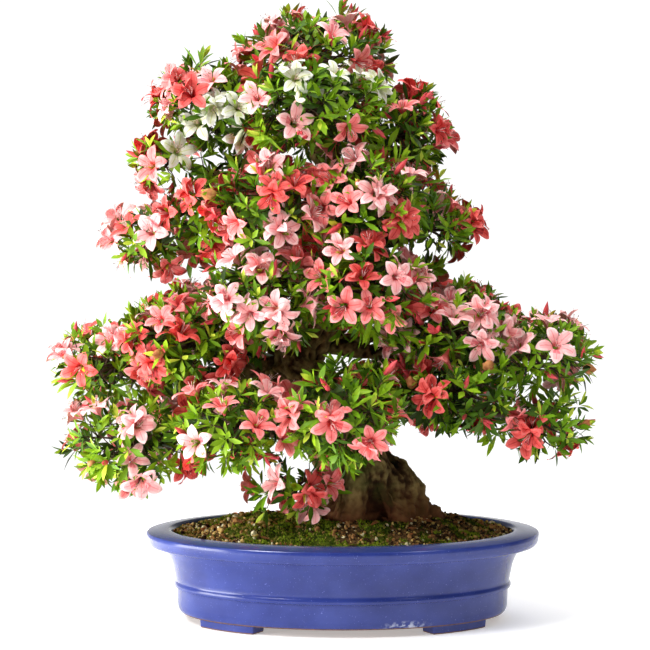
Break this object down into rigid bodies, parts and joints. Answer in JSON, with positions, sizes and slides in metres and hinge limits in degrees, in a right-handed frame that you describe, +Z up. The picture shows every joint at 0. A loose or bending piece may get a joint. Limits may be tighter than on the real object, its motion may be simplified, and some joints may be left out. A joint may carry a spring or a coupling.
{
  "type": "satsuki azalea bonsai",
  "caption": "Small evergreen azalea trained as a tree in full bloom, with a leaning trunk and tiered pads of leaf and flower, in a low oval glazed pot of mossy soil.",
  "frame": {"origin": "on the table, under the middle of the plant's bounding box", "axes": "+Z up, +X to the viewer's right, -Y towards the viewer"},
  "size_m": [0.6486, 0.415, 0.719],
  "materials": {
    "glaze": "smooth violet-blue glaze, glossy, paler on the rim",
    "moss": "dark soil under a skin of green moss, matt",
    "bark": "ridged grey-brown bark, matt",
    "foliage": "small green leaves with coral and white flowers, satin"
  },
  "bodies": {
    "root": {"bough_lobe_left": "bark", "bough_low_back_left": "bark", "bough_low_back_right": "bark", "bough_low_front": "bark", "bough_low_front_left": "bark", "bough_low_left": "bark", "bough_low_right": "bark", "bough_low_right_tip": "bark", "bough_mid_back": "bark", "bough_upper_left": "bark", "bough_upper_left_tip": "bark", "bough_upper_right": "bark", "bough_wide_back_left": "bark", "bough_wide_back_right": "bark", "bough_wide_left": "bark", "bough_wide_left_tip": "bark", "bough_wide_right": "bark", "bough_wide_right_tip": "bark", "foliage_apex": "foliage", "foliage_front_sprig": "foliage", "foliage_lobe_left": "foliage", "foliage_low_back_left": "foliage", "foliage_low_back_right": "foliage", "foliage_low_front": "foliage", "foliage_low_front_left": "foliage", "foliage_low_left": "foliage", "foliage_low_right": "foliage", "foliage_low_right_tip": "foliage", "foliage_mid_back": "foliage", "foliage_mid_front_left": "foliage", "foliage_mid_front_right": "foliage", "foliage_mid_right": "foliage", "foliage_shoulder_back": "foliage", "foliage_shoulder_front": "foliage", "foliage_shoulder_left": "foliage", "foliage_shoulder_right": "foliage", "foliage_upper_back_left": "foliage", "foliage_upper_back_right": "foliage", "foliage_upper_front_left": "foliage", "foliage_upper_front_right": "foliage", "foliage_upper_left": "foliage", "foliage_upper_left_tip": "foliage", "foliage_upper_right": "foliage", "foliage_wide_back_left": "foliage", "foliage_wide_back_right": "foliage", "foliage_wide_left": "foliage", "foliage_wide_left_tip": "foliage", "foliage_wide_right": "foliage", "foliage_wide_right_tip": "foliage", "pot": "glaze", "soil": "moss", "trunk": "bark"}
  },
  "joints": []
}
